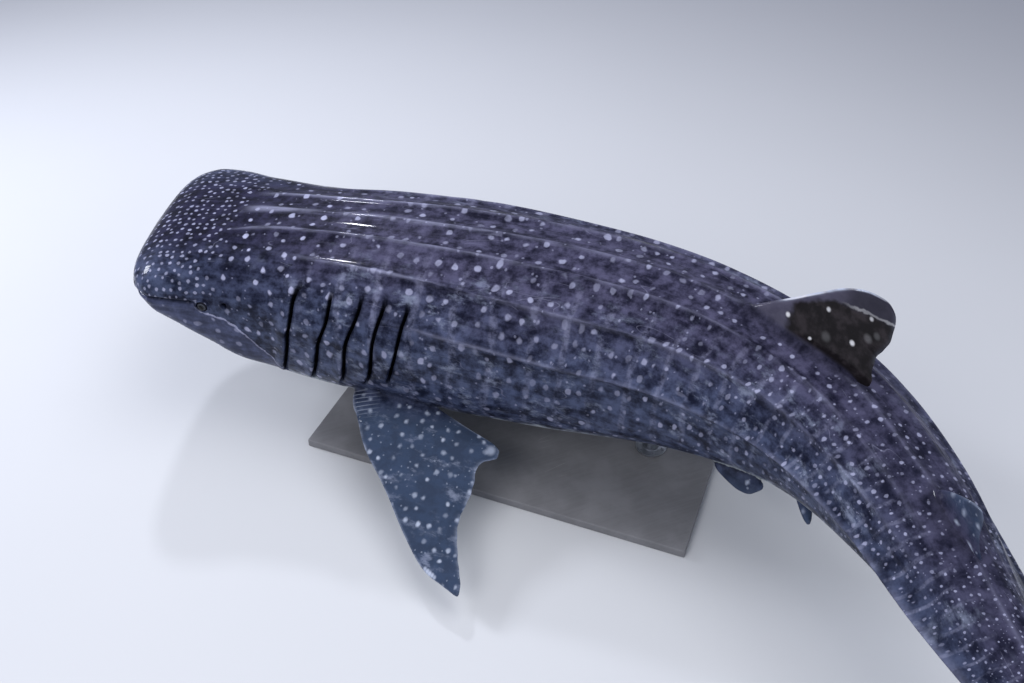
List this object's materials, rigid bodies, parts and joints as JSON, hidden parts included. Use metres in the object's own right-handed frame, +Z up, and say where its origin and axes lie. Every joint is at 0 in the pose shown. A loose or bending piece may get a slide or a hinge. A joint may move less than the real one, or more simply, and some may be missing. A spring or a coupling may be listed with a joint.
{
  "type": "whale shark",
  "caption": "Life-size whale shark with a broad flat head, ridged back, long gill slits and a spotted dark skin, its tail bent to the left, on a low display stand.",
  "frame": {"origin": "middle of the footprint of the whole model, on the floor under the stand", "axes": "+Z up; the head points roughly along -X and the animal's left side faces -Y, to which the tail bends; the whole is longest along Y"},
  "size_m": [4.4562, 5.2029, 2.1051],
  "materials": {
    "skin": "wet dark blue-grey hide with pale grey spots and faint pale bars, white below",
    "jaw": "wet grey hide of the lower jaw and throat, faintly spotted",
    "fin": "wet dark slate-blue fin hide with pale spots",
    "eye": "wet black eyeball",
    "base": "timber board painted matt mid grey",
    "rod": "plain satin steel rod"
  },
  "bodies": {
    "root": {"anal_fin": "fin", "caudal_fin_lower": "fin", "caudal_fin_upper": "fin", "clasper_left": "fin", "clasper_right": "fin", "dorsal_fin_first": "fin", "dorsal_fin_second": "fin", "eye_left": "eye", "eye_right": "eye", "gill_region": "skin", "head": "skin", "lower_jaw": "jaw", "pectoral_fin_left": "fin", "pectoral_fin_right": "fin", "pelvic_fin_left": "fin", "pelvic_fin_right": "fin", "stand_base": "base", "stand_rod_front": "rod", "stand_rod_rear": "rod", "tail_stalk": "skin", "trunk_front": "skin", "trunk_rear": "skin"}
  },
  "joints": []
}
